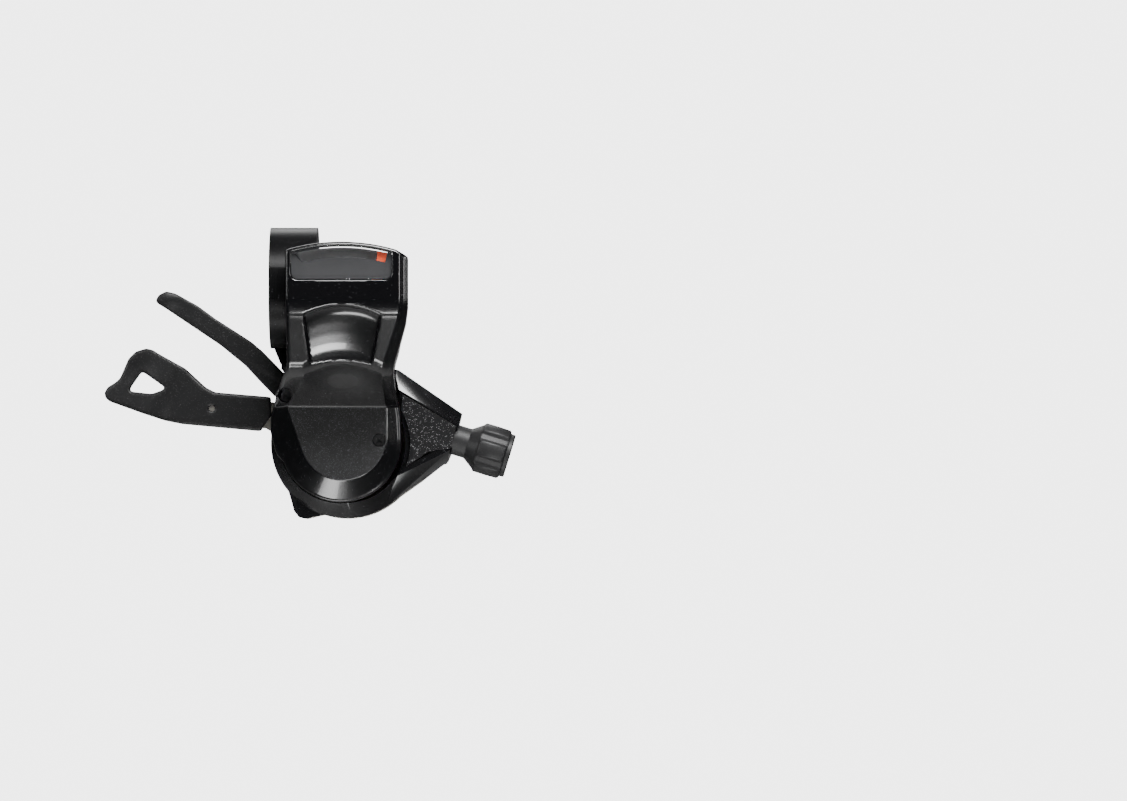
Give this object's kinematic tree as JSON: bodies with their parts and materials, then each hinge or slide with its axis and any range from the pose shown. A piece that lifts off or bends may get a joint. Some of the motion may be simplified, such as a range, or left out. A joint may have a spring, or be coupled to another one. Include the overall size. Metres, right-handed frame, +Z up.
{
  "type": "thumb shifter",
  "caption": "Bicycle thumb shifter with a handlebar clamp, arched display window, two levers, an inner cable winder and a barrel adjuster at the cable outlet.",
  "frame": {"origin": "centre of the handlebar clamp's bore, halfway along it", "axes": "+X along the handlebar towards the cable outlet, +Z up past the display, -Y towards the rider"},
  "size_m": [0.1043, 0.0492, 0.0733],
  "materials": {
    "clamp_black": "satin black paint on cast aluminium",
    "bolt_steel": "dark plated steel",
    "zinc_steel": "zinc plated",
    "gloss_cover": "gloss black with fine metal flake, matte grey round face",
    "housing_black": "gloss black moulded plastic",
    "black_plastic": "fine moulded black plastic",
    "textured_black": "coarse sparkling texture",
    "smoked_window": "smoked clear plastic",
    "dial_grey": "satin grey",
    "indicator_orange": "plain orange plastic",
    "black_screw": "black oxide screw",
    "bare_steel": "bare rolled steel plate",
    "brass_bush": "plain",
    "white_nylon": "plain nylon",
    "spring_steel": "oiled spring wire",
    "lever_black": "matte fine-grained black",
    "knob_black": "matte rubbery black"
  },
  "bodies": {
    "shifter_body": {"clamp_band": "clamp_black", "clamp_bolt": "bolt_steel", "clamp_nut": "zinc_steel", "bracket_screws": "zinc_steel", "top_cover": "gloss_cover", "pod_back_cover": "black_plastic", "display_lens": "smoked_window", "display_face": "dial_grey", "cover_screws": "black_screw", "base_housing": "housing_black", "outlet_cover": "textured_black", "base_plate": "bare_steel", "bottom_cover": "black_plastic", "bottom_screws": "black_screw", "cable_hole_plug": "black_plastic", "main_axle": "bare_steel", "axle_nut": "zinc_steel", "cover_bridge": "bare_steel", "lever_spacers": "brass_bush", "stop_pawl_pin": "bare_steel", "stop_pawl_spring": "spring_steel", "thumb_lever_spring": "spring_steel", "release_lever_spring": "spring_steel", "barrel_spring": "spring_steel"},
    "indicator": {"indicator_arm": "indicator_orange"},
    "winder": {"cable_winder": "white_nylon", "ratchet_plate": "bare_steel", "winder_spring": "spring_steel"},
    "thumb_lever": {"thumb_lever_plate": "bare_steel", "thumb_lever_cap": "lever_black", "feed_pawl_pin": "bare_steel", "feed_pawl_spring": "spring_steel"},
    "feed_pawl": {"feed_pawl": "bare_steel"},
    "release_lever": {"release_lever_plate": "bare_steel", "release_lever_cap": "lever_black"},
    "stop_pawl": {"stop_pawl": "bare_steel"},
    "adjuster_ring": {"detent_ring": "brass_bush"},
    "adjuster_knob": {"barrel_knob": "knob_black", "barrel_screw": "zinc_steel"}
  },
  "joints": [
    {"name": "thumb_lever_swing", "type": "hinge", "parent": "shifter_body", "child": "thumb_lever", "pos_m": [0.0121, 0.018, -0.03825], "axis": [0, 1, 0], "range_deg": [0, 35], "stiffness_Nm_per_rad": 0.1, "springref_deg": -11.46},
    {"name": "release_lever_swing", "type": "hinge", "parent": "shifter_body", "child": "release_lever", "pos_m": [0.0121, 0.0154, -0.03825], "axis": [0, 1, 0], "range_deg": [-8, 8], "stiffness_Nm_per_rad": 0.15},
    {"name": "winder_turn", "type": "hinge", "parent": "shifter_body", "child": "winder", "pos_m": [0.0121, 0.01, -0.03825], "axis": [0, 1, 0], "range_deg": [0, 150]},
    {"name": "indicator_swing", "type": "hinge", "parent": "shifter_body", "child": "indicator", "pos_m": [0.0121, 0.0074, -0.03825], "axis": [0, 1, 0], "range_deg": [-25, 0]},
    {"name": "feed_pawl_tilt", "type": "hinge", "parent": "thumb_lever", "child": "feed_pawl", "pos_m": [0.00565, 0.0125, -0.04942], "axis": [0, 1, 0], "range_deg": [0, 2.8]},
    {"name": "stop_pawl_tilt", "type": "hinge", "parent": "shifter_body", "child": "stop_pawl", "pos_m": [0.02282, 0.0125, -0.02988], "axis": [0, 1, 0], "range_deg": [-2.5, 2.5]},
    {"name": "barrel_travel", "type": "slide", "parent": "shifter_body", "child": "adjuster_ring", "axis": [0.9563, 0, -0.2924], "range_m": [0, 0.0021]},
    {"name": "knob_turn", "type": "hinge", "parent": "adjuster_ring", "child": "adjuster_knob", "pos_m": [0.04598, 0.0099, -0.03976], "axis": [0.9563, 0, -0.2924], "range_deg": [0, 900]}
  ],
  "couplings": [
    {"joint": "indicator_swing", "follows": "winder_turn", "ratio": -0.1664},
    {"joint": "feed_pawl_tilt", "follows": "thumb_lever_swing", "ratio": 0.08},
    {"joint": "stop_pawl_tilt", "follows": "release_lever_swing", "ratio": 0.3},
    {"joint": "knob_turn", "follows": "barrel_travel", "rad_per_m": 7450}
  ]
}
